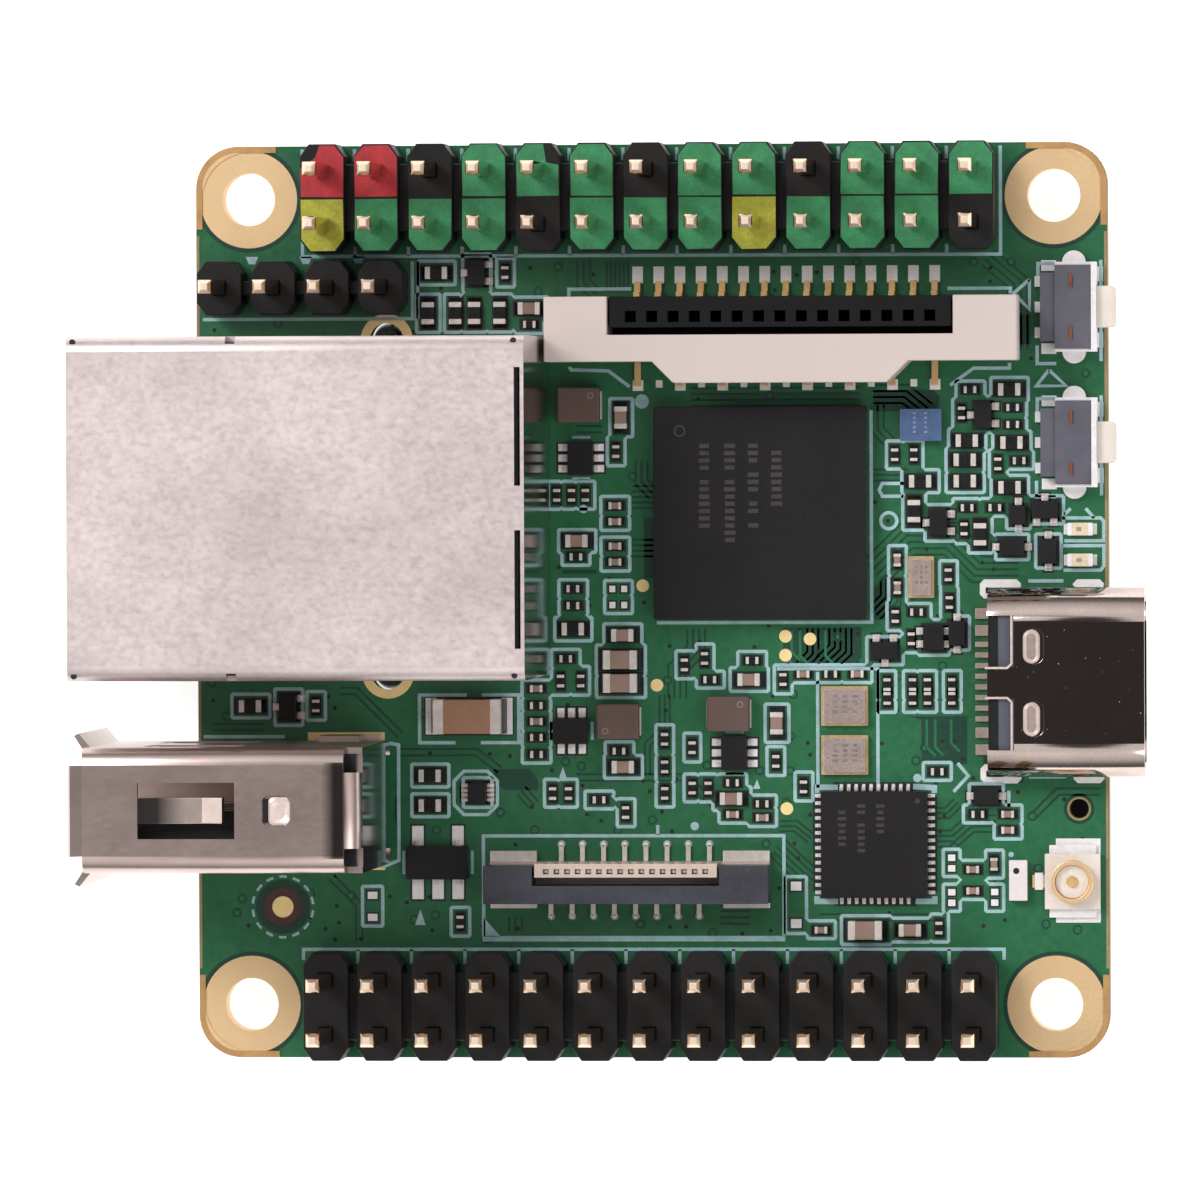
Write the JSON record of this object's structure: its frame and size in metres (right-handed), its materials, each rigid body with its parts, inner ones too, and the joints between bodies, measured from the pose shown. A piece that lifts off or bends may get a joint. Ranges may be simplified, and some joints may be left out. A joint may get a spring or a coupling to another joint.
{
  "type": "single board computer",
  "caption": "Square single board computer with Ethernet, upright USB-A, USB-C, two flat-cable connectors, painted pin headers and side push buttons.",
  "frame": {"origin": "centre of the four mounting holes, on the underside of the board", "axes": "+Z out of the component side, +X towards the USB-C socket, +Y towards the painted pin header"},
  "size_m": [0.0493, 0.043, 0.0173],
  "materials": {
    "solder_mask": "satin green mask",
    "gold_plating": "satin gold plating",
    "header_paint": "painted plastic",
    "black_plastic": "fine matte",
    "contact_gold": "polished gold",
    "steel_shell": "matte tin over steel",
    "copper_winding": "enamelled copper",
    "clear_pipe": "frosted light pipe",
    "tinned_metal": "bright tin",
    "dark_steel": "dark polished nickel",
    "grey_plastic": "dark grey",
    "cream_plastic": "warm cream nylon",
    "tan_plastic": "tan nylon",
    "chip_mould": "moulded epoxy",
    "white_ceramic": "glazed ceramic",
    "switch_grey": "blue grey nylon",
    "switch_cream": "cream nylon",
    "led_lens": "pale phosphor lens",
    "crystal_lid": "brushed lid",
    "blue_ceramic": "blue ceramic",
    "ferrite_brown": "ground ferrite",
    "cap_ceramic": "fired ceramic",
    "resistor_glaze": "black glaze",
    "knob_white": "white nylon",
    "silkscreen": "pale printed ink",
    "dark_solder": "solder under flux",
    "bare_laminate": "cut glass epoxy",
    "paint_red": "painted plastic",
    "paint_yellow": "painted plastic",
    "chip_marking": "laser marking"
  },
  "bodies": {
    "board": {"circuit_board": "solder_mask", "mounting_hole_plating": "gold_plating", "gpio_header_a_body": "header_paint", "gpio_header_a_pins": "contact_gold", "gpio_header_b_body": "black_plastic", "gpio_header_b_pins": "contact_gold", "power_header_body": "black_plastic", "power_header_pins": "contact_gold", "ethernet_shell": "steel_shell", "ethernet_housing": "black_plastic", "ethernet_contacts": "contact_gold", "ethernet_transformer": "copper_winding", "ethernet_light_pipes": "clear_pipe", "usb_a_shell": "steel_shell", "usb_a_spring_fingers": "steel_shell", "usb_a_insulator": "black_plastic", "usb_a_contacts": "contact_gold", "usb_c_shell": "dark_steel", "usb_c_insulator": "grey_plastic", "usb_c_contacts": "contact_gold", "display_connector_housing": "black_plastic", "display_connector_contacts": "contact_gold", "camera_connector_housing": "tan_plastic", "camera_connector_contacts": "tinned_metal", "camera_connector_solder_tabs": "tinned_metal", "processor_package": "chip_mould", "processor_solder_balls": "tinned_metal", "wireless_chip": "chip_mould", "wireless_chip_leads": "tinned_metal", "antenna_socket_base": "white_ceramic", "antenna_socket_ring": "gold_plating", "antenna_socket_pin": "contact_gold", "antenna_filter": "white_ceramic", "reset_switch_body": "switch_grey", "reset_switch_frame": "tinned_metal", "reset_switch_dome": "tinned_metal", "recovery_switch_body": "switch_grey", "recovery_switch_frame": "tinned_metal", "recovery_switch_dome": "tinned_metal", "status_leds": "led_lens", "crystal_bases": "ferrite_brown", "crystal_lids": "crystal_lid", "balun_chip": "blue_ceramic", "inductors": "ferrite_brown", "ceramic_capacitors": "cap_ceramic", "chip_resistors": "resistor_glaze", "chip_terminals": "tinned_metal", "small_packages": "chip_mould", "small_package_leads": "tinned_metal", "card_socket_shell": "steel_shell", "card_socket_housing": "black_plastic", "card_socket_contacts": "contact_gold", "flash_chip": "chip_mould", "flash_chip_leads": "tinned_metal", "boot_selector_body": "tinned_metal"},
    "reset_button": {"reset_switch_plunger": "switch_cream"},
    "recovery_button": {"recovery_switch_plunger": "switch_cream"},
    "display_latch": {"display_connector_latch": "cream_plastic"},
    "camera_latch": {"camera_connector_latch": "black_plastic"},
    "boot_selector": {"boot_selector_knob": "knob_white"}
  },
  "joints": [
    {"name": "reset_button_press", "type": "slide", "parent": "board", "child": "reset_button", "axis": [-1, 0, 0], "range_m": [0, 0.00025], "stiffness_N_per_m": 600, "springref_m": -0.0003},
    {"name": "recovery_button_press", "type": "slide", "parent": "board", "child": "recovery_button", "axis": [-1, 0, 0], "range_m": [0, 0.00025], "stiffness_N_per_m": 600, "springref_m": -0.0003},
    {"name": "display_latch_lift", "type": "slide", "parent": "board", "child": "display_latch", "axis": [0, 0, 1], "range_m": [0, 0.0012]},
    {"name": "camera_latch_lift", "type": "slide", "parent": "board", "child": "camera_latch", "axis": [0, 0, 1], "range_m": [0, 0.0008]},
    {"name": "boot_selector_slide", "type": "slide", "parent": "board", "child": "boot_selector", "axis": [1, 0, 0], "range_m": [0, 0.0015]}
  ]
}
